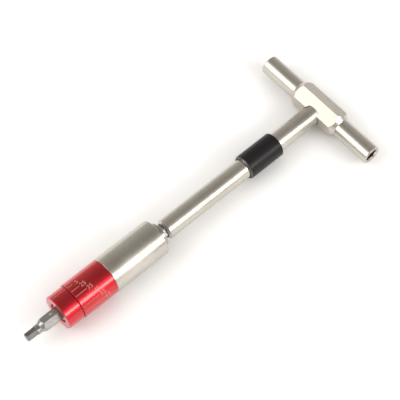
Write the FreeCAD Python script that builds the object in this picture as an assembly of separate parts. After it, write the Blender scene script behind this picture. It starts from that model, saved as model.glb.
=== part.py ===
import FreeCAD, Part
import math
import os
from FreeCAD import Vector

# Torque screwdriver: a T-handle on a round shaft, with a push-in torque limiter and a hex bit.
# Millimetres. The tool's axis is X, with the bit at +X, and the crossbar runs along Y.
# Stations are measured along the tool's axis from the crossbar's own axis.
# The finished pieces are moved so that the origin is under the middle of the tool, on its rest plane.

# --- T-handle, one piece turned from hexagon bar ---
handle_flats = 12.7
handle_length = 73.6
block_length = 30.0
block_cone = 3.0
arm_dia = 10.25
arm_end_chamfer = 0.5
arm_socket_depth = 12.0
pocket_depth = 1.9
pocket_clearance = 0.2

# --- quarter inch hexagon drive, used by both sockets, the limiter's shank and the bit ---
drive_flats = 6.35
drive_clearance = 0.05
drive_clocking = 43.5
mouth_chamfer = 0.45
seat_gap = 0.05

# --- socket magnets ---
magnet_dia = 5.0
magnet_length = 3.0
magnet_clearance = 0.02

# --- shaft ---
shaft_dia = 10.4
shaft_length = 99.75
shaft_end_chamfer = 1.1
shaft_socket_depth = 10.0
spigot_dia = 6.0
spigot_length = 7.5
spigot_clearance = 0.02

# --- free-spinning sleeve on the shaft, held by two snap rings ---
sleeve_dia = 13.1
sleeve_length = 21.2
sleeve_rear = 31.15
sleeve_front_chamfer = 0.75
sleeve_front_chamfer_length = 0.95
sleeve_rear_chamfer = 0.4
sleeve_ring_inset = 4.5

# --- snap rings ---
ring_width = 0.8
ring_depth = 0.45
ring_reach = 0.5
ring_side_play = 0.1
ring_top_play = 0.12
ring_gap = 2.0

# --- running and keyed fits ---
running_clearance = 0.05
key_clearance = 0.1
thread_clearance = 0.02

# --- limiter's input shank ---
shank_length = 12.15
shank_groove_inset = 4.0
shank_groove_width = 2.0
shank_groove_depth = 0.45
shank_end_chamfer = 0.5
boss_dia = 12.4
boss_length = 2.45
shank_thread_dia = 9.8
bushing_wall = 1.0
thrust_ball_dia = 2.5

# --- limiter housing ---
limiter_dia = 18.8
limiter_bore = 14.4
housing_length = 31.1
housing_wall = 4.05
joint_thread_dia = 17.0
joint_thread_length = 6.0
edge_break = 0.25
key_width = 3.0
key_depth = 0.7

# --- clutch stack ---
backing_thickness = 3.0
friction_count = 3
friction_thickness = 1.2
friction_dia = 13.8
drive_plate_thickness = 1.0
pressure_thickness = 2.5
plate_gap = 0.05
plate_play = 0.1
disc_spring_count = 12
disc_spring_dia = 14.0
disc_spring_bore = 7.2
disc_spring_thickness = 0.8
disc_spring_height = 0.95
thrust_washer_thickness = 1.2
thrust_tube_dia = 13.8
thrust_tube_bore = 10.0

# --- adjusting nut ---
nut_flange_length = 3.0
nut_thread_dia = 13.0
nut_thread_length = 8.5
nut_key_count = 3
nut_flange_gap = 2.4
nut_bushing_wall = 0.7

# --- scale sleeve and dial ---
scale_length = 19.85
joint_relief = 0.25
dial_dia = 18.0
dial_length = 8.7
dial_seam = 0.2
dial_skirt_dia = 16.5
dial_skirt_length = 5.6
dial_front_wall = 3.0
dial_front_hole = 10.4
dial_front_chamfer = 0.4
dial_floor_gap = 0.2
dial_ring_inset = 0.8
o_ring_section = 0.93
o_ring_inset = 3.5
o_ring_squeeze_gap = 0.02
o_ring_groove_play = 0.35

# --- output spindle ---
nose_dia = 9.7
nose_length = 10.0
nose_recess = 0.7
nose_chamfer = 0.4
stem_dia = 7.0
stem_flats = 5.6
stem_clearance = 0.3
journal_dia = 6.0
journal_length = 2.8
bit_socket_depth = 5.9
clip_dia = 9.8
clip_inset = 0.8
clip_thickness = 0.8
clip_play = 0.3

# --- hex bit ---
bit_length = 25.0
bit_tip_flats = 4.0
bit_tip_length = 5.5
bit_neck_dia = 4.75
bit_neck_length = 2.2
bit_cone_length = 2.6
bit_tip_chamfer = 0.3
bit_rear_chamfer = 0.4

# --- stations along the tool ---
shaft_shoulder = handle_flats / 2 - pocket_depth
shaft_front = shaft_shoulder + shaft_length
shaft_socket_floor = shaft_front - shaft_socket_depth
shank_rear = shaft_socket_floor + seat_gap
boss_rear = shank_rear + shank_length
housing_rear = boss_rear + boss_length
housing_floor = housing_rear + housing_wall
housing_front = housing_rear + housing_length
scale_front = housing_front + scale_length
dial_rear = scale_front + dial_seam
dial_front = dial_rear + dial_length
nose_front = dial_front - nose_recess
nose_rear = nose_front - nose_length
bit_socket_floor = nose_front - bit_socket_depth
bit_rear = bit_socket_floor + seat_gap
bit_front = bit_rear + bit_length
skirt_rear = dial_rear - dial_skirt_length
skirt_floor = skirt_rear - dial_floor_gap
journal_front = housing_floor + plate_gap
journal_rear = journal_front - journal_length
backing_front = housing_floor + backing_thickness

# --- shared radii ---
drive_socket_flats = drive_flats + drive_clearance
plate_radius = limiter_bore / 2 - plate_play
key_radius = limiter_bore / 2 + key_depth
magnet_pocket_radius = magnet_dia / 2 + magnet_clearance
skirt_bore_radius = dial_skirt_dia / 2 + running_clearance
plate_bore = stem_dia + 2 * stem_clearance

LENGTHWISE = Vector(1, 0, 0)


def corner_radius(flats):
    """Radius of a hexagon's corners."""
    return flats / math.sqrt(3)


def turned(profile):
    """Solid of revolution about X from (station, radius) points."""
    points = [Vector(x, r, 0) for x, r in profile]
    points.append(points[0])
    face = Part.Face(Part.makePolygon(points))
    return face.revolve(Vector(0, 0, 0), LENGTHWISE, 360)


def rod(rear, front, dia, rear_chamfer=0.0, front_chamfer=0.0):
    """Round bar along X with an optional chamfer at each end."""
    r = dia / 2
    profile = [(rear, 0), (rear, r - rear_chamfer)]
    if rear_chamfer:
        profile.append((rear + rear_chamfer, r))
    if front_chamfer:
        profile.append((front - front_chamfer, r))
    profile += [(front, r - front_chamfer), (front, 0)]
    return turned(profile)


def tube(rear, front, dia, bore):
    """Plain round tube along X."""
    return turned([(rear, bore / 2), (rear, dia / 2), (front, dia / 2), (front, bore / 2)])


def hexagon(rear, front, flats, clocking):
    """Hexagonal bar along X; clocking turns one flat's normal from +Y towards +Z."""
    points = []
    for i in range(7):
        angle = math.radians(clocking + 30 + 60 * i)
        radius = corner_radius(flats)
        points.append(Vector(rear, radius * math.cos(angle), radius * math.sin(angle)))
    return Part.Face(Part.makePolygon(points)).extrude(Vector(front - rear, 0, 0))


def drive_socket(floor, mouth, clocking):
    """Cutter for a quarter inch hexagon socket with a magnet pocket and a chamfered mouth."""
    corner = corner_radius(drive_socket_flats)
    hole = hexagon(floor, mouth + 1, drive_socket_flats, clocking)
    pocket = rod(floor - magnet_length, floor + 0.5, 2 * magnet_pocket_radius)
    slope = mouth_chamfer + 0.5
    lead_in = turned([(mouth - slope, 0), (mouth - slope, corner - 0.5),
                      (mouth + 1, corner + mouth_chamfer + 1), (mouth + 1, 0)])
    return hole.fuse([pocket, lead_in])


def magnet(floor):
    """Disc magnet that fills the pocket under a socket's floor."""
    return rod(floor - magnet_length, floor, magnet_dia, 0.2, 0.2)


def split_ring(middle, inner_radius, outer_radius, width, gap_angle):
    """Flat snap ring along X with its gap turned to gap_angle from +Y towards +Z."""
    ring = tube(middle - width / 2, middle + width / 2, 2 * outer_radius, 2 * inner_radius)
    corner = Vector(middle - width / 2 - 1, 0, -ring_gap / 2)
    gap = Part.makeBox(width + 2, outer_radius + 1, ring_gap, corner)
    gap.rotate(Vector(0, 0, 0), LENGTHWISE, gap_angle)
    return ring.cut(gap)


def keys(rear, front, reach, width, count, inner=0.0):
    """Radial bars, evenly spaced about X, that make lugs or the slots for them."""
    bars = []
    for i in range(count):
        bar = Part.makeBox(front - rear, reach - inner, width, Vector(rear, inner, -width / 2))
        bar.rotate(Vector(0, 0, 0), LENGTHWISE, 90 + 360.0 * i / count)
        bars.append(bar)
    return bars


def keyed_disc(rear, front, radius, bore, count):
    """Disc whose lugs fit the keyways in the limiter's bore."""
    disc = rod(rear, front, 2 * radius)
    outline = rod(rear, front, 2 * key_radius)
    lugs = [bar.common(outline) for bar in keys(rear, front, key_radius, key_width, count)]
    return disc.fuse(lugs).cut(rod(rear - 1, front + 1, bore)).removeSplitter()


def keyways(rear, front, count):
    """Cutter for the lengthwise slots that the keyed pieces slide in."""
    bars = keys(rear, front, key_radius, key_width + key_clearance, count, limiter_bore / 2 - 1)
    outline = rod(rear, front, 2 * key_radius)
    return [bar.common(outline) for bar in bars]


def swung(shape, angle):
    """Copy of a shape made along X, swung about the Z axis."""
    copy = shape.copy()
    copy.rotate(Vector(0, 0, 0), Vector(0, 0, 1), angle)
    return copy


def make_handle():
    """Crossbar: hexagonal block with coned shoulders, two round arms and a socket in each end."""
    half = handle_length / 2
    arms = rod(-half, half, arm_dia, arm_end_chamfer, arm_end_chamfer)
    corner = corner_radius(handle_flats)
    end = block_length / 2
    bar = hexagon(-end, end, handle_flats, 0)
    shoulders = turned([(-end, 0), (-end, arm_dia / 2), (block_cone - end, corner),
                        (end - block_cone, corner), (end, arm_dia / 2), (end, 0)])
    body = swung(arms.fuse(bar.common(shoulders)), 90)
    socket = drive_socket(half - arm_socket_depth, half, 90)
    body = body.cut([swung(socket, 90), swung(socket, -90)])
    pocket = rod(shaft_shoulder, handle_flats, shaft_dia + 2 * pocket_clearance)
    spigot_floor = shaft_shoulder - spigot_length - 0.5
    spigot_hole = rod(spigot_floor, shaft_shoulder + 0.5, spigot_dia + 2 * spigot_clearance)
    return body.cut([pocket, spigot_hole]).removeSplitter()


def make_socket_magnets():
    """Three equal magnets: one at the bottom of each arm's socket and one in the shaft's."""
    arm_magnet = magnet(handle_length / 2 - arm_socket_depth)
    shaft_magnet = magnet(shaft_socket_floor)
    return Part.makeCompound([swung(arm_magnet, 90), swung(arm_magnet, -90), shaft_magnet])


def sleeve_ring_stations():
    """Middle of each snap ring under the spinning sleeve."""
    return [sleeve_rear + sleeve_ring_inset, sleeve_rear + sleeve_length - sleeve_ring_inset]


def make_shaft():
    """Round shaft with a spigot in the block, two ring grooves and a drive socket."""
    shaft = rod(shaft_shoulder, shaft_front, shaft_dia, 0, shaft_end_chamfer)
    spigot = rod(shaft_shoulder - spigot_length, shaft_shoulder + 1, spigot_dia, 0.6)
    shaft = shaft.fuse(spigot).cut(drive_socket(shaft_socket_floor, shaft_front, drive_clocking))
    grooves = []
    for middle in sleeve_ring_stations():
        grooves.append(tube(middle - ring_width / 2, middle + ring_width / 2, shaft_dia + 2,
                            shaft_dia - 2 * ring_depth))
    return shaft.cut(grooves)


def make_sleeve_rings():
    """Two equal snap rings that stop the sleeve from sliding along the shaft."""
    inner = shaft_dia / 2 - ring_depth
    outer = shaft_dia / 2 + ring_reach
    rings = [split_ring(middle, inner, outer, ring_width, 270) for middle in sleeve_ring_stations()]
    return Part.makeCompound(rings)


def make_spinner_sleeve():
    """Sleeve that turns freely on the shaft while the tool is spun with the other hand."""
    front = sleeve_rear + sleeve_length
    bore = shaft_dia / 2 + running_clearance
    r = sleeve_dia / 2
    sleeve = turned([(sleeve_rear, bore), (sleeve_rear, r - sleeve_rear_chamfer),
                     (sleeve_rear + sleeve_rear_chamfer, r), (front - sleeve_front_chamfer_length, r),
                     (front, r - sleeve_front_chamfer), (front, bore)])
    half = ring_width / 2 + ring_side_play
    reach = shaft_dia + 2 * (ring_reach + ring_top_play)
    grooves = [tube(middle - half, middle + half, reach, shaft_dia) for middle in sleeve_ring_stations()]
    return sleeve.cut(grooves)


def make_input_shank():
    """Hexagonal shank with a boss, screwed into the housing's rear wall."""
    blank = hexagon(shank_rear, boss_rear + 0.5, drive_flats, drive_clocking)
    corner = corner_radius(drive_flats)
    outline = rod(shank_rear, boss_rear + 1, 2 * corner, shank_end_chamfer)
    groove_middle = shank_rear + shank_groove_inset
    groove = tube(groove_middle - shank_groove_width / 2, groove_middle + shank_groove_width / 2,
                  drive_flats + 2, drive_flats - 2 * shank_groove_depth)
    boss = rod(boss_rear, housing_rear, boss_dia, edge_break)
    thread = rod(housing_rear - 0.5, housing_floor, shank_thread_dia)
    shank = blank.common(outline).cut(groove).fuse([boss, thread])
    hole_floor = journal_rear - seat_gap
    bushing_dia = journal_dia + 2 * (running_clearance + bushing_wall)
    bushing_hole = rod(hole_floor, housing_floor + 1, bushing_dia)
    ball_hole_dia = thrust_ball_dia + 2 * thread_clearance
    ball_hole = rod(hole_floor - thrust_ball_dia, journal_rear, ball_hole_dia)
    return shank.cut([bushing_hole, ball_hole]).removeSplitter()


def make_thrust_ball():
    """Steel ball that the spindle's rear end turns on."""
    middle = journal_rear - seat_gap - thrust_ball_dia / 2
    return Part.makeSphere(thrust_ball_dia / 2, Vector(middle, 0, 0))


def make_rear_bushing():
    """Bronze bushing round the spindle's rear journal."""
    bore = journal_dia + 2 * running_clearance
    return tube(journal_rear - seat_gap, housing_floor, bore + 2 * bushing_wall, bore)


def make_housing():
    """Silver cup: thick rear wall, keyed bore and an outside thread for the scale sleeve."""
    r = limiter_dia / 2
    thread_r = joint_thread_dia / 2
    end = housing_front + joint_thread_length
    hole = shank_thread_dia / 2
    bore = limiter_bore / 2
    cup = turned([(housing_rear, hole), (housing_rear, r - edge_break),
                  (housing_rear + edge_break, r), (housing_front - edge_break, r),
                  (housing_front, r - edge_break), (housing_front, thread_r), (end, thread_r),
                  (end, bore), (housing_floor, bore), (housing_floor, hole)])
    return cup.cut(keyways(housing_floor, end + 1, 2))


def make_backing_plate():
    """Keyed plate against the rear wall, hollowed behind for the spindle's clip."""
    plate = keyed_disc(housing_floor, backing_front, plate_radius, plate_bore, 2)
    hollow_floor = clip_middle() + clip_thickness / 2 + clip_play
    hollow = rod(housing_floor - 1, hollow_floor, clip_dia + 2 * clip_play)
    return plate.cut(hollow)


def friction_station(i):
    """Rear face of friction disc i, counted from the backing plate."""
    pitch = friction_thickness + drive_plate_thickness + 2 * plate_gap
    return backing_front + plate_gap + i * pitch


def pressure_station():
    """Rear face of the pressure plate, in front of the last friction disc."""
    return friction_station(friction_count - 1) + friction_thickness + plate_gap


def flatted_stem(rear, front):
    """The spindle's stem where two flats drive the friction discs."""
    stem = rod(rear, front, stem_dia)
    corner = Vector(rear, -stem_dia / 2, -stem_flats / 2)
    slab = Part.makeBox(front - rear, stem_dia, stem_flats, corner)
    return stem.common(slab)


def make_friction_discs():
    """Equal discs on the spindle's flats that slip against the keyed plates."""
    discs = []
    for i in range(friction_count):
        rear = friction_station(i)
        disc = rod(rear, rear + friction_thickness, friction_dia)
        discs.append(disc.cut(flatted_stem(rear - 1, rear + friction_thickness + 1)))
    return Part.makeCompound(discs)


def make_drive_plates():
    """Equal keyed plates between the friction discs."""
    plates = []
    for i in range(friction_count - 1):
        rear = friction_station(i) + friction_thickness + plate_gap
        plates.append(keyed_disc(rear, rear + drive_plate_thickness, plate_radius, plate_bore, 2))
    return Part.makeCompound(plates)


def make_pressure_plate():
    """Keyed plate that carries the spring load into the clutch stack."""
    rear = pressure_station()
    return keyed_disc(rear, rear + pressure_thickness, plate_radius, plate_bore, 2)


def spring_rear():
    """Station where the spring stack starts."""
    return pressure_station() + pressure_thickness


def make_disc_springs():
    """Conical disc springs stacked in pairs, edge to edge."""
    springs = []
    cone = disc_spring_height - disc_spring_thickness
    inner = disc_spring_bore / 2
    outer = disc_spring_dia / 2
    for i in range(disc_spring_count):
        rear = spring_rear() + i * disc_spring_height
        if i % 2 == 0:
            inner_rear, outer_rear = rear + cone, rear
        else:
            inner_rear, outer_rear = rear, rear + cone
        springs.append(turned([(inner_rear, inner), (outer_rear, outer),
                               (outer_rear + disc_spring_thickness, outer),
                               (inner_rear + disc_spring_thickness, inner)]))
    return Part.makeCompound(springs)


def washer_rear():
    """Station where the spring stack ends on its washer."""
    return spring_rear() + disc_spring_count * disc_spring_height


def nut_rear():
    """Rear face of the nut's flange at the rest setting."""
    return skirt_rear - nut_flange_gap - nut_flange_length


def make_thrust_washer():
    """Washer between the springs and the thrust tube."""
    rear = washer_rear()
    return tube(rear, rear + thrust_washer_thickness, disc_spring_dia, plate_bore)


def make_thrust_tube():
    """Tube that passes the nut's push on to the springs."""
    tube_rear = washer_rear() + thrust_washer_thickness
    return tube(tube_rear, nut_rear(), thrust_tube_dia, thrust_tube_bore)


def make_adjusting_nut():
    """Nut with three keyed lugs; the dial's thread moves it along the tool."""
    rear = nut_rear()
    flange_front = rear + nut_flange_length
    front = flange_front + nut_thread_length
    bore = nose_dia + 2 * (running_clearance + nut_bushing_wall)
    flange = keyed_disc(rear, flange_front, plate_radius, bore, nut_key_count)
    lug_reach = 2 * key_radius - key_clearance
    lug_trim = tube(rear - 1, flange_front + 1, lug_reach + 2, lug_reach)
    thread = tube(flange_front - 0.5, front, nut_thread_dia, bore)
    return flange.cut(lug_trim).fuse(thread).removeSplitter()


def make_nut_bushing():
    """Bronze bushing in the nut that guides the spindle's nose."""
    bore = nose_dia + 2 * running_clearance
    front = nut_rear() + nut_flange_length + nut_thread_length
    return tube(nut_rear(), front, bore + 2 * nut_bushing_wall, bore)


def dial_ring_station():
    """Middle of the snap ring that holds the dial in the scale sleeve."""
    return skirt_rear + dial_ring_inset


def make_scale_sleeve():
    """Red sleeve with the scale: screwed on the housing, keyed for the nut, bored for the dial."""
    r = limiter_dia / 2
    joint = joint_thread_dia / 2 + thread_clearance
    joint_end = housing_front + joint_thread_length + joint_relief
    bore = limiter_bore / 2
    sleeve = turned([(housing_front, joint), (housing_front, r - edge_break),
                     (housing_front + edge_break, r), (scale_front - edge_break, r),
                     (scale_front, r - edge_break), (scale_front, skirt_bore_radius),
                     (skirt_floor, skirt_bore_radius), (skirt_floor, bore), (joint_end, bore),
                     (joint_end, joint)])
    half = ring_width / 2 + ring_side_play
    groove = tube(dial_ring_station() - half, dial_ring_station() + half,
                  2 * (dial_skirt_dia / 2 + ring_depth + ring_top_play), dial_skirt_dia)
    return sleeve.cut(keyways(joint_end - 1, skirt_floor + 1, nut_key_count) + [groove])


def make_dial():
    """Red dial: skirt inside the scale sleeve, thread for the nut, open front round the spindle."""
    r = dial_dia / 2
    skirt = dial_skirt_dia / 2
    thread = nut_thread_dia / 2 + running_clearance
    hole = dial_front_hole / 2
    inner_front = dial_front - dial_front_wall
    chamfer = dial_front_chamfer
    dial = turned([(skirt_rear, thread), (skirt_rear, skirt), (dial_rear, skirt),
                   (dial_rear, r - edge_break), (dial_rear + edge_break, r),
                   (dial_front - chamfer, r), (dial_front, r - chamfer), (dial_front, hole + chamfer),
                   (dial_front - chamfer, hole), (inner_front, hole), (inner_front, thread)])
    ring_middle = dial_ring_station()
    ring_groove = tube(ring_middle - ring_width / 2, ring_middle + ring_width / 2,
                       dial_skirt_dia + 2, dial_skirt_dia - 2 * ring_depth)
    o_ring_middle = skirt_rear + o_ring_inset
    half = (o_ring_section + o_ring_groove_play) / 2
    o_ring_floor = 2 * (skirt_bore_radius - o_ring_squeeze_gap - o_ring_section)
    o_ring_groove = tube(o_ring_middle - half, o_ring_middle + half, dial_skirt_dia + 2, o_ring_floor)
    return dial.cut([ring_groove, o_ring_groove])


def make_dial_ring():
    """Snap ring between the dial's skirt and the scale sleeve."""
    skirt = dial_skirt_dia / 2
    return split_ring(dial_ring_station(), skirt - ring_depth, skirt + ring_depth, ring_width, 270)


def make_dial_o_ring():
    """Rubber ring whose grip keeps the dial where it is set."""
    major = skirt_bore_radius - o_ring_squeeze_gap - o_ring_section / 2
    return Part.makeTorus(major, o_ring_section / 2, Vector(skirt_rear + o_ring_inset, 0, 0), LENGTHWISE)


def clip_middle():
    """Middle of the clip behind the backing plate."""
    return housing_floor + clip_inset + clip_thickness / 2


def make_output_spindle():
    """Spindle: bit socket in the nose, flats for the discs, clip groove and rear journal."""
    nose = rod(nose_rear, nose_front, nose_dia, edge_break, nose_chamfer)
    stem = rod(journal_front, nose_rear + 1, stem_dia)
    journal = rod(journal_rear, journal_front + 0.5, journal_dia, edge_break)
    flats_rear = clip_middle() + clip_thickness
    flats_front = pressure_station() + pressure_thickness / 2
    waste = rod(flats_rear, flats_front, stem_dia + 1).cut(flatted_stem(flats_rear, flats_front))
    clip_groove = tube(clip_middle() - clip_thickness / 2, clip_middle() + clip_thickness / 2,
                       stem_dia + 2, journal_dia)
    body = nose.fuse([stem, journal]).cut([waste, clip_groove])
    return body.cut(drive_socket(bit_socket_floor, nose_front, drive_clocking)).removeSplitter()


def make_spindle_clip():
    """Retaining clip that keeps the spindle from pulling out."""
    return split_ring(clip_middle(), journal_dia / 2, clip_dia / 2, clip_thickness, 0)


def make_spindle_magnet():
    """Magnet that holds the bit in the spindle."""
    return magnet(bit_socket_floor)


def make_bit():
    """Insert bit: hexagonal shank, cone, round neck and hexagonal tip, in one piece."""
    neck_front = bit_front - bit_tip_length
    neck_rear = neck_front - bit_neck_length
    cone_rear = neck_rear - bit_cone_length
    corner = corner_radius(drive_flats)
    neck = bit_neck_dia / 2
    outline = turned([(bit_rear, 0), (bit_rear, corner - bit_rear_chamfer),
                      (bit_rear + bit_rear_chamfer, corner), (cone_rear, corner),
                      (neck_rear, neck), (neck_front, neck), (neck_front, 0)])
    shank = hexagon(bit_rear, neck_front, drive_flats, drive_clocking).common(outline)
    tip_rear = neck_front - 0.5
    tip_outline = rod(tip_rear, bit_front, 2 * corner_radius(bit_tip_flats), 0, bit_tip_chamfer)
    tip = hexagon(tip_rear, bit_front, bit_tip_flats, drive_clocking).common(tip_outline)
    return shank.fuse(tip).removeSplitter()


def save(node, shape):
    """Moves a piece into the part's frame and writes its STEP file."""
    rear_end = -handle_flats / 2
    placed = shape.copy()
    placed.translate(Vector(-(rear_end + bit_front) / 2, 0, limiter_dia / 2))
    placed.exportStep("parts/" + node + ".step")


PIECES = {
    "t_handle": make_handle,
    "socket_magnets": make_socket_magnets,
    "shaft": make_shaft,
    "sleeve_rings": make_sleeve_rings,
    "spinner_sleeve": make_spinner_sleeve,
    "input_shank": make_input_shank,
    "thrust_ball": make_thrust_ball,
    "rear_bushing": make_rear_bushing,
    "housing": make_housing,
    "backing_plate": make_backing_plate,
    "friction_discs": make_friction_discs,
    "drive_plates": make_drive_plates,
    "pressure_plate": make_pressure_plate,
    "disc_springs": make_disc_springs,
    "thrust_washer": make_thrust_washer,
    "thrust_tube": make_thrust_tube,
    "adjusting_nut": make_adjusting_nut,
    "nut_bushing": make_nut_bushing,
    "scale_sleeve": make_scale_sleeve,
    "dial": make_dial,
    "dial_ring": make_dial_ring,
    "dial_o_ring": make_dial_o_ring,
    "output_spindle": make_output_spindle,
    "spindle_clip": make_spindle_clip,
    "spindle_magnet": make_spindle_magnet,
    "bit": make_bit,
}

os.makedirs("parts", exist_ok=True)
for name, make in PIECES.items():
    save(name, make())
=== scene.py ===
"""Looks, lights and camera for the torque screwdriver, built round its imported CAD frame.

Lengths are in metres. The tool's axis is X with the bit at +X, the crossbar runs along Y and Z is up.
Angles round the tool's axis go from +Y towards +Z.
"""

import math

import bpy
from mathutils import Matrix, Vector


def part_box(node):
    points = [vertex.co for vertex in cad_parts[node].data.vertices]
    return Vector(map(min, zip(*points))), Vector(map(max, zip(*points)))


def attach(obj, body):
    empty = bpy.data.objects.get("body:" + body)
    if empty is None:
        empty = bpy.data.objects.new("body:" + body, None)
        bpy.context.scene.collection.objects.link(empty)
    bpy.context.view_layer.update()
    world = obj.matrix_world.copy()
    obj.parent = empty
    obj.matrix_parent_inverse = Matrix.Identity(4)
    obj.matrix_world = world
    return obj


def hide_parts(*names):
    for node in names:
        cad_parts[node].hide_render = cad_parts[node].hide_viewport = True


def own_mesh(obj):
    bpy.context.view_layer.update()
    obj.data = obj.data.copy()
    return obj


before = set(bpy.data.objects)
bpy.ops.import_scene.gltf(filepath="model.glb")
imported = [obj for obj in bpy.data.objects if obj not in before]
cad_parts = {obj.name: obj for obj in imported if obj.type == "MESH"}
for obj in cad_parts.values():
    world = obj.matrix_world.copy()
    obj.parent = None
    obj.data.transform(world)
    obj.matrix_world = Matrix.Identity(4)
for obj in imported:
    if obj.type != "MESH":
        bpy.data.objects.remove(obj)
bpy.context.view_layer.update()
MM = 0.001


# Sockets of a colour Mix node, whose A, B and Result share their names with those of its other types.
MIX_A = 6
MIX_B = 7
MIX_RESULT = 2


def placed(name, data):
    """New object in the scene's collection."""
    item = bpy.data.objects.new(name, data)
    bpy.context.scene.collection.objects.link(item)
    return item


# --- places read from the frame ---

def middle(node):
    """Centre of a CAD node's box."""
    low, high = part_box(node)
    return (low + high) / 2


CROSSBAR = middle("t_handle")
AXIS_Z = CROSSBAR.z
SCALE_LOW, SCALE_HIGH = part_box("scale_sleeve")
DIAL_LOW, DIAL_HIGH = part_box("dial")
SCALE_RADIUS = (SCALE_HIGH.z - SCALE_LOW.z) / 2
DIAL_RADIUS = (DIAL_HIGH.z - DIAL_LOW.z) / 2
BIT_LOW, BIT_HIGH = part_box("bit")


# --- materials ---

class Nodes:
    """A material's node tree with short calls for adding and joining nodes."""

    def __init__(self, name):
        self.material = bpy.data.materials.new(name)
        self.material.use_nodes = True
        self.tree = self.material.node_tree
        self.shader = self.tree.nodes["Principled BSDF"]
        self.output = self.tree.nodes["Material Output"]

    def add(self, kind, **settings):
        node = self.tree.nodes.new(kind)
        for key, value in settings.items():
            setattr(node, key, value)
        return node

    def set(self, **values):
        """Sets the shader's own sockets; words in a name are joined by underscores."""
        for key, value in values.items():
            self.shader.inputs[key.replace("_", " ")].default_value = value

    def join(self, source, output, target, socket):
        self.tree.links.new(source.outputs[output], target.inputs[socket])

    def place(self, scale):
        """Object coordinates, stretched by scale."""
        coordinates = self.add("ShaderNodeTexCoord")
        mapping = self.add("ShaderNodeMapping")
        mapping.inputs["Scale"].default_value = scale
        self.join(coordinates, "Object", mapping, "Vector")
        return mapping

    def noise(self, scale, detail=3.0, roughness=0.6):
        """Noise in object coordinates stretched by scale."""
        noise = self.add("ShaderNodeTexNoise")
        noise.inputs["Scale"].default_value = 1.0
        noise.inputs["Detail"].default_value = detail
        noise.inputs["Roughness"].default_value = roughness
        self.join(self.place(scale), "Vector", noise, "Vector")
        return noise

    def spread(self, source, low, high, target, socket):
        """Sends a noise's factor, mapped to low..high, to a socket."""
        ranged = self.add("ShaderNodeMapRange")
        ranged.inputs["From Min"].default_value = 0.3
        ranged.inputs["From Max"].default_value = 0.7
        ranged.inputs["To Min"].default_value = low
        ranged.inputs["To Max"].default_value = high
        self.join(source, "Fac", ranged, "Value")
        self.join(ranged, "Result", target, socket)

    def tint(self, source, dark, light):
        """Base colour that wanders between two colours with a noise."""
        ramp = self.add("ShaderNodeValToRGB")
        ramp.color_ramp.elements[0].position = 0.3
        ramp.color_ramp.elements[0].color = (*dark, 1)
        ramp.color_ramp.elements[1].position = 0.7
        ramp.color_ramp.elements[1].color = (*light, 1)
        self.join(source, "Fac", ramp, "Fac")
        self.join(ramp, "Color", self.shader, "Base Color")

    def bump(self, source, strength, distance):
        """Bump over edges that look rounded by a tenth of a millimetre."""
        edges = self.add("ShaderNodeBevel", samples=4)
        edges.inputs["Radius"].default_value = 0.12 * MM
        bump = self.add("ShaderNodeBump")
        self.join(edges, "Normal", bump, "Normal")
        bump.inputs["Strength"].default_value = strength
        bump.inputs["Distance"].default_value = distance
        self.join(source, "Fac", bump, "Height")
        self.join(bump, "Normal", self.shader, "Normal")

    def range_along_x(self, start, end):
        """Node whose Result goes from 0 to 1 between two places along X."""
        place = self.add("ShaderNodeSeparateXYZ")
        self.join(self.add("ShaderNodeTexCoord"), "Object", place, "Vector")
        ranged = self.add("ShaderNodeMapRange")
        ranged.inputs["From Min"].default_value = start
        ranged.inputs["From Max"].default_value = end
        self.join(place, "X", ranged, "Value")
        return ranged

    def paint_over(self, factor, output, colour, blend="MIX"):
        """Mixes a colour over the present base colour, as far as another node's output says."""
        under = self.shader.inputs["Base Color"].links[0].from_node
        mixed = self.add("ShaderNodeMix", data_type="RGBA", blend_type=blend)
        mixed.inputs[MIX_B].default_value = (*colour, 1)
        self.join(factor, output, mixed, "Factor")
        self.join(under, "Color", mixed, MIX_A)
        self.join(mixed, MIX_RESULT, self.shader, "Base Color")


def lathe_scale(axis, across, along):
    """Noise scale for marks that run round an axis: fine along it, coarse across it."""
    return tuple(along if name == axis else across for name in "XYZ")


def turned_metal(name, dark, light, roughness, axis, anisotropy=0.6, mark=0.04):
    """Metal with lathe marks round an axis, patchy gloss and a slight change of colour."""
    nodes = Nodes(name)
    nodes.set(Metallic=1.0, Anisotropic=anisotropy)
    patches = nodes.noise((60, 60, 60))
    rings = nodes.noise(lathe_scale(axis, 40, 6000), 2.0)
    nodes.tint(patches, dark, light)
    nodes.spread(patches, roughness * 0.9, roughness * 1.15, nodes.shader, "Roughness")
    nodes.bump(rings, mark, 0.02 * MM)
    tangent = nodes.add("ShaderNodeTangent", direction_type="RADIAL", axis=axis)
    nodes.join(tangent, "Tangent", nodes.shader, "Tangent")
    return nodes


def nickel(axis):
    """Satin nickel plate, turned round an axis."""
    nodes = turned_metal("satin_nickel_" + axis.lower(), (0.56, 0.53, 0.475), (0.64, 0.61, 0.555), 0.27, axis)
    return nodes.material


def tool_steel(name, dark, light, roughness):
    """Hard steel, ground along the tool."""
    nodes = Nodes(name)
    nodes.set(Metallic=1.0)
    strokes = nodes.noise((400, 6000, 6000), 2.0)
    nodes.tint(nodes.noise((700, 700, 700)), dark, light)
    nodes.spread(strokes, roughness * 0.85, roughness * 1.2, nodes.shader, "Roughness")
    nodes.bump(strokes, 0.12, 0.02 * MM)
    return nodes


TIP_FADE_REAR = 5.9 * MM
TIP_FADE_FRONT = 5.3 * MM
RIM_LENGTH = 0.8 * MM
# Painted highlight bands on the sleeve's mouth: where each starts, as a share of RIM_LENGTH, and how far it is
# pale metal.
RIM_HIGHLIGHT_BANDS = ((0.0, 0.0), (0.2, 0.8), (0.32, 0.0), (0.82, 0.8), (0.94, 0.0))


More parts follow.
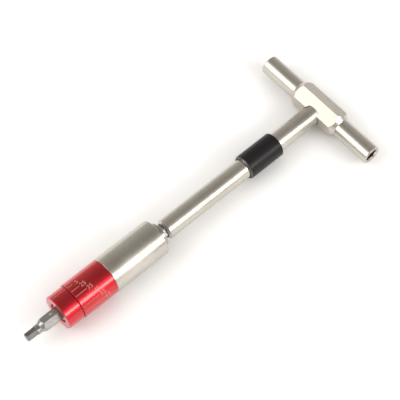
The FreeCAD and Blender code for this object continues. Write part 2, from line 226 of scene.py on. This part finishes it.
def bit_steel():
    """Bit: ground shank, and a darker, sandblasted tip in front of its neck."""
    nodes = tool_steel("bit_steel", (0.33, 0.33, 0.32), (0.42, 0.42, 0.40), 0.34)
    tip = nodes.range_along_x(BIT_HIGH.x - TIP_FADE_REAR, BIT_HIGH.x - TIP_FADE_FRONT)
    nodes.paint_over(tip, "Result", (0.58, 0.58, 0.59), "MULTIPLY")
    return nodes.material


def red_anodised():
    """Red anodised aluminium under a thin clear coat."""
    nodes = turned_metal("red_anodised", (0.58, 0.004, 0.012), (0.68, 0.009, 0.024), 0.31, "X", 0.5)
    nodes.set(Coat_Weight=1.0, Coat_Roughness=0.12, Coat_IOR=1.55)
    return nodes.material


def black_anodised():
    """Black sleeve with streaks along it and two painted highlight bands of pale metal at its front mouth."""
    nodes = Nodes("black_anodised")
    nodes.set(Metallic=0.0, Specular_IOR_Level=0.3)
    streaks = nodes.noise((40, 1500, 1500), 2.0)
    nodes.tint(streaks, (0.008, 0.008, 0.009), (0.016, 0.015, 0.017))
    nodes.spread(streaks, 0.3, 0.5, nodes.shader, "Roughness")
    nodes.bump(streaks, 0.35, 0.03 * MM)
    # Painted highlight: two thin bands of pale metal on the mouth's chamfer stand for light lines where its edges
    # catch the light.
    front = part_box("spinner_sleeve")[1].x
    rim = nodes.range_along_x(front - RIM_LENGTH, front)
    bands = nodes.add("ShaderNodeValToRGB")
    bands.color_ramp.interpolation = "CONSTANT"
    for start, highlight_share in RIM_HIGHLIGHT_BANDS:
        stop = bands.color_ramp.elements.new(start)
        stop.color = (highlight_share, highlight_share, highlight_share, 1)
    bands.color_ramp.elements.remove(bands.color_ramp.elements[0])
    bands.color_ramp.elements.remove(bands.color_ramp.elements[-1])
    nodes.join(rim, "Result", bands, "Fac")
    nodes.paint_over(bands, "Color", (0.62, 0.60, 0.56))
    nodes.join(bands, "Color", nodes.shader, "Metallic")
    return nodes.material


def plain_steel():
    """Turned steel of the inner parts."""
    return turned_metal("plain_steel", (0.50, 0.47, 0.42), (0.60, 0.56, 0.50), 0.35, "X", 0.4).material


def spring_steel():
    """Dark spring steel."""
    return turned_metal("spring_steel", (0.16, 0.16, 0.17), (0.24, 0.24, 0.25), 0.35, "X", 0.2).material


def magnet_plate():
    """Bright plate on the magnets."""
    return turned_metal("magnet_plate", (0.60, 0.60, 0.60), (0.70, 0.70, 0.70), 0.2, "X", 0.0).material


def bronze():
    """Sintered bronze of bushings and friction discs."""
    nodes = turned_metal("sintered_bronze", (0.42, 0.27, 0.12), (0.55, 0.37, 0.18), 0.45, "X", 0.0)
    return nodes.material


def rubber():
    """Matt black rubber."""
    nodes = Nodes("black_rubber")
    grain = nodes.noise((4000, 4000, 4000), 2.0)
    nodes.tint(grain, (0.012, 0.012, 0.012), (0.02, 0.02, 0.02))
    nodes.spread(grain, 0.55, 0.7, nodes.shader, "Roughness")
    nodes.bump(grain, 0.2, 0.01 * MM)
    return nodes.material


def laser_mark(name, dark, light):
    """Matt pale mark burnt into an anodised or plated surface."""
    nodes = Nodes(name)
    grain = nodes.noise((7000, 7000, 7000), 2.0)
    nodes.tint(grain, dark, light)
    nodes.spread(grain, 0.55, 0.7, nodes.shader, "Roughness")
    nodes.bump(grain, 0.1, 0.01 * MM)
    return nodes.material


def dress(material, *names):
    """Gives CAD nodes one material."""
    for name in names:
        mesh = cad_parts[name].data
        mesh.materials.clear()
        mesh.materials.append(material)


def dress_all():
    """Gives every CAD node its material."""
    dress(nickel("X"), "shaft", "housing")
    dress(nickel("Y"), "t_handle")
    dress(tool_steel("tool_steel", (0.40, 0.39, 0.37), (0.50, 0.49, 0.47), 0.3).material, "input_shank")
    dress(bit_steel(), "bit")
    dress(red_anodised(), "scale_sleeve", "dial")
    dress(black_anodised(), "spinner_sleeve")
    dress(plain_steel(), "backing_plate", "drive_plates", "pressure_plate", "thrust_washer", "thrust_tube",
          "adjusting_nut", "output_spindle")
    dress(spring_steel(), "sleeve_rings", "disc_springs", "dial_ring", "spindle_clip", "thrust_ball")
    dress(magnet_plate(), "socket_magnets", "spindle_magnet")
    dress(bronze(), "rear_bushing", "nut_bushing", "friction_discs")
    dress(rubber(), "dial_o_ring")


# --- marks on the scale sleeve, the dial and the bit ---

MARK_HEIGHT = 0.015 * MM
SCALE_FIRST_ANGLE = 129.4
SCALE_STEP_ANGLE = -18.6
SCALE_VALUES = range(5, 70, 10)
LINE_WIDTH = 0.25 * MM
LINE_FIRST = 1.2 * MM
LINE_STEP = 1.75 * MM
NUMBER_HEIGHT = 2.2 * MM
NUMBER_GAP = 0.5 * MM
INDEX_ANGLE = 116.0
BIT_FACET_ANGLE = 103.5
BIT_FLATS = 6.35 * MM
SEAM_GAP = 0.25 * MM
INDEX_FRONT_GAP = 0.45 * MM
INDEX_REAR_GAP = 0.3 * MM
DIGIT_HEIGHT = 1.9 * MM
DIGIT_PLACE = 3.5 * MM
DIGIT_SHARE = 0.7


def on_cylinder(radius, x, angle, lift):
    """Point at a station and an angle round the tool's axis."""
    reach = radius + lift
    return Vector((x, reach * math.cos(angle), AXIS_Z + reach * math.sin(angle)))


def wrapped(name, vertices, faces, radius, x, angle, body, material):
    """Flat outline wrapped on a cylinder as a thin mark: u runs towards the crossbar, v runs round."""
    count = len(vertices)
    points = []
    for lift in (-MARK_HEIGHT, MARK_HEIGHT):
        points += [on_cylinder(radius, x - u, math.radians(angle) + v / radius, lift) for u, v in vertices]
    top = [tuple(i + count for i in face) for face in faces]
    bottom = [tuple(reversed(face)) for face in faces]
    edges = {}
    for face in faces:
        for a, b in zip(face, face[1:] + face[:1]):
            edges[(a, b)] = True
    walls = [(a, b, b + count, a + count) for a, b in edges if (b, a) not in edges]
    mesh = bpy.data.meshes.new(name)
    mesh.from_pydata(points, [], top + bottom + walls)
    mesh.materials.append(material)
    mesh.validate()
    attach(placed(name, mesh), body)


def strip(length, width, steps=1):
    """Vertices and faces of a strip along u, centred on v."""
    vertices = []
    for i in range(steps + 1):
        u = length * i / steps
        vertices += [(u, -width / 2), (u, width / 2)]
    faces = [(2 * i, 2 * i + 2, 2 * i + 3, 2 * i + 1) for i in range(steps)]
    return vertices, faces


def lettering(text, height):
    """Vertices and faces of a short number, from u = 0 and centred on v; a digit fills DIGIT_SHARE of its type."""
    curve = bpy.data.curves.new("number", "FONT")
    curve.body = text
    curve.size = height / DIGIT_SHARE
    curve.resolution_u = 4
    item = placed("number", curve)
    bpy.context.view_layer.update()
    shaped = item.evaluated_get(bpy.context.evaluated_depsgraph_get())
    mesh = bpy.data.meshes.new_from_object(shaped)
    xs = [v.co.x for v in mesh.vertices]
    ys = [v.co.y for v in mesh.vertices]
    shift = (min(xs), (min(ys) + max(ys)) / 2)
    vertices = [(v.co.x - shift[0], v.co.y - shift[1]) for v in mesh.vertices]
    faces = [tuple(p.vertices) for p in mesh.polygons]
    bpy.data.objects.remove(item)
    bpy.data.meshes.remove(mesh)
    bpy.data.curves.remove(curve)
    return vertices, faces


def make_scale(material):
    """Lines of growing length from the dial's seam, each ending at its number."""
    front = SCALE_HIGH.x - SEAM_GAP
    for i, value in enumerate(SCALE_VALUES):
        angle = SCALE_FIRST_ANGLE + SCALE_STEP_ANGLE * i
        length = LINE_FIRST + LINE_STEP * i
        vertices, faces = strip(length, LINE_WIDTH)
        wrapped(f"scale_line_{value}", vertices, faces, SCALE_RADIUS, front, angle, "handle", material)
        vertices, faces = lettering(str(value), NUMBER_HEIGHT)
        start = front - length - NUMBER_GAP
        wrapped(f"scale_number_{value}", vertices, faces, SCALE_RADIUS, start, angle, "handle", material)


def make_index(material):
    """Line along the whole dial that is set against the scale."""
    front = DIAL_HIGH.x - INDEX_FRONT_GAP
    vertices, faces = strip(front - SCALE_HIGH.x - INDEX_REAR_GAP, LINE_WIDTH)
    wrapped("dial_index", vertices, faces, DIAL_RADIUS, front, INDEX_ANGLE, "dial", material)


def make_spring_stack():
    """The disc springs, as a piece of their own on the handle in place of the CAD node."""
    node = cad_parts["disc_springs"]
    piece = placed("spring_stack", node.data.copy())
    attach(piece, "handle")
    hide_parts("disc_springs")
    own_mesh(piece)


def make_bit_digit(material):
    """Flat digit on one facet of the bit's shank: the tip's size in millimetres."""
    vertices, faces = lettering("4", DIGIT_HEIGHT)
    angle = math.radians(BIT_FACET_ANGLE)
    outward = Vector((0, math.cos(angle), math.sin(angle)))
    along = Vector((0, -math.sin(angle), math.cos(angle)))
    middle_u = max(u for u, v in vertices) / 2
    count = len(vertices)
    points = []
    for lift in (-MARK_HEIGHT, MARK_HEIGHT):
        for u, v in vertices:
            point = outward * (BIT_FLATS / 2 + lift) + along * (u - middle_u)
            points.append(point + Vector((DIAL_HIGH.x + DIGIT_PLACE + v, 0, AXIS_Z)))
    top = [tuple(i + count for i in face) for face in faces]
    mesh = bpy.data.meshes.new("bit_digit")
    mesh.from_pydata(points, [], top)
    mesh.materials.append(material)
    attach(placed("bit_digit", mesh), "output")


dress_all()
PALE_MARK = laser_mark("pale_mark", (0.66, 0.28, 0.22), (0.84, 0.42, 0.34))
make_scale(PALE_MARK)
make_index(PALE_MARK)
make_bit_digit(laser_mark("etched_steel", (0.62, 0.61, 0.59), (0.75, 0.74, 0.72)))
make_spring_stack()


# --- floor, light and camera ---

CAMERA_AZIMUTH = 46.85
CAMERA_ELEVATION = 60.83
CAMERA_ROLL = 1.30
CAMERA_DISTANCE = 0.6368
CAMERA_LENS = 118.8
FLOOR_REACH = 3.0
SHADOW_REACH = 0.02
SHADOW_POWER = 1.1
SOFTBOX_COLOUR = (1.0, 0.98, 0.95)
CAMERA_TARGET = Vector((CROSSBAR.x + 0.07992, -0.00095, AXIS_Z))


def direction(azimuth, elevation):
    """Unit vector; azimuth goes from +X towards +Y."""
    a = math.radians(azimuth)
    e = math.radians(elevation)
    return Vector((math.cos(e) * math.cos(a), math.cos(e) * math.sin(a), math.sin(e)))


def facing(back, roll):
    """Rotation whose Z axis is back, with Y upwards but for a roll."""
    right = Vector((0, 0, 1)).cross(back).normalized()
    up = back.cross(right)
    c = math.cos(math.radians(roll))
    s = math.sin(math.radians(roll))
    rotation = Matrix((c * right + s * up, c * up - s * right, back)).transposed()
    return rotation.to_4x4()


def make_camera():
    """Camera at the photograph's viewing angle."""
    camera = bpy.data.cameras.new("camera")
    camera.lens = CAMERA_LENS
    camera.sensor_width = 36.0
    camera.clip_start = 0.01
    item = placed("camera", camera)
    back = direction(CAMERA_AZIMUTH, CAMERA_ELEVATION)
    item.matrix_world = Matrix.Translation(CAMERA_TARGET + back * CAMERA_DISTANCE) @ facing(back, CAMERA_ROLL)
    bpy.context.scene.camera = item


def make_softbox(name, azimuth, elevation, distance, width, height, radiance):
    """Rectangular lamp that looks at the middle of the tool."""
    lamp = bpy.data.lights.new(name, "AREA")
    lamp.shape = "RECTANGLE"
    lamp.size = width
    lamp.size_y = height
    lamp.color = SOFTBOX_COLOUR
    lamp.energy = radiance * math.pi * width * height
    item = placed(name, lamp)
    back = direction(azimuth, elevation)
    item.matrix_world = Matrix.Translation(back * distance) @ facing(back, 0)


def make_world(zenith, horizon, colour):
    """Warm surround, lighter low down, that the camera sees as white."""
    world = bpy.data.worlds.new("studio")
    world.use_nodes = True
    bpy.context.scene.world = world
    tree = world.node_tree
    background = tree.nodes["Background"]
    coordinates = tree.nodes.new("ShaderNodeTexCoord")
    split = tree.nodes.new("ShaderNodeSeparateXYZ")
    square = tree.nodes.new("ShaderNodeMath")
    square.operation = "MULTIPLY"
    height = tree.nodes.new("ShaderNodeMapRange")
    height.inputs["To Min"].default_value = horizon
    height.inputs["To Max"].default_value = zenith
    rays = tree.nodes.new("ShaderNodeLightPath")
    strength = tree.nodes.new("ShaderNodeMapRange")
    strength.inputs["To Max"].default_value = 1.0
    tint = tree.nodes.new("ShaderNodeMix")
    tint.data_type = "RGBA"
    tint.inputs[MIX_A].default_value = (*colour, 1)
    tint.inputs[MIX_B].default_value = (1, 1, 1, 1)
    tree.links.new(coordinates.outputs["Generated"], split.inputs["Vector"])
    tree.links.new(split.outputs["Z"], square.inputs[0])
    tree.links.new(split.outputs["Z"], square.inputs[1])
    tree.links.new(square.outputs["Value"], height.inputs["Value"])
    tree.links.new(rays.outputs["Is Camera Ray"], strength.inputs["Value"])
    tree.links.new(rays.outputs["Is Camera Ray"], tint.inputs["Factor"])
    tree.links.new(height.outputs["Result"], strength.inputs["To Min"])
    tree.links.new(strength.outputs["Result"], background.inputs["Strength"])
    tree.links.new(tint.outputs[MIX_RESULT], background.inputs["Color"])


def make_floor(glow):
    """Pale table that touches the limiter and the crossbar's block; it glows for the camera and in reflections,
    less near the tool, which paints its contact shadow.
    """
    size = FLOOR_REACH
    limiter_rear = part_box("housing")[0].x
    block_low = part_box("t_handle")[0].z
    slope = math.atan2(block_low, limiter_rear - CROSSBAR.x)
    mesh = bpy.data.meshes.new("floor")
    corners = [(-size, -size, 0), (size, -size, 0), (size, size, 0), (-size, size, 0)]
    mesh.from_pydata(corners, [], [(0, 1, 2, 3)])
    floor = placed("floor", mesh)
    floor.matrix_world = Matrix.Translation((limiter_rear, 0, 0)) @ Matrix.Rotation(slope, 4, "Y")
    nodes = Nodes("pale_table")
    grain = nodes.noise((900, 900, 900))
    nodes.tint(grain, (0.91, 0.91, 0.91), (0.93, 0.93, 0.93))
    nodes.set(Roughness=0.9, Specular_IOR_Level=0.0)
    rays = nodes.add("ShaderNodeLightPath")
    seen = nodes.add("ShaderNodeMath", operation="MAXIMUM")
    nodes.join(rays, "Is Camera Ray", seen, 0)
    nodes.join(rays, "Is Glossy Ray", seen, 1)
    # Painted shadow: the glow is dimmed by ambient occlusion close to the tool, so the table darkens round it.
    openness = nodes.add("ShaderNodeAmbientOcclusion", samples=8)
    openness.inputs["Distance"].default_value = SHADOW_REACH
    painted_contact_shade = nodes.add("ShaderNodeMath", operation="POWER")
    painted_contact_shade.inputs[1].default_value = SHADOW_POWER
    nodes.join(openness, "AO", painted_contact_shade, 0)
    bright = nodes.add("ShaderNodeMath", operation="MULTIPLY")
    bright.inputs[1].default_value = glow
    nodes.join(painted_contact_shade, "Value", bright, 0)
    level = nodes.add("ShaderNodeMath", operation="MULTIPLY")
    nodes.join(seen, "Value", level, 0)
    nodes.join(bright, "Value", level, 1)
    nodes.shader.inputs["Emission Color"].default_value = (1, 1, 1, 1)
    nodes.join(level, "Value", nodes.shader, "Emission Strength")
    mesh.materials.append(nodes.material)


make_camera()
make_world(0.30, 0.60, (1.0, 0.95, 0.89))
make_floor(0.42)
make_softbox("softbox_right", 112.8, 33, 1.1, 0.62, 0.28, 6.8)
make_softbox("softbox_right_wide", 114, 37, 1.2, 0.75, 0.66, 0.5)
make_softbox("softbox_left", -28, 39, 1.1, 0.75, 0.78, 2.6)
bpy.context.scene.view_settings.view_transform = "Standard"
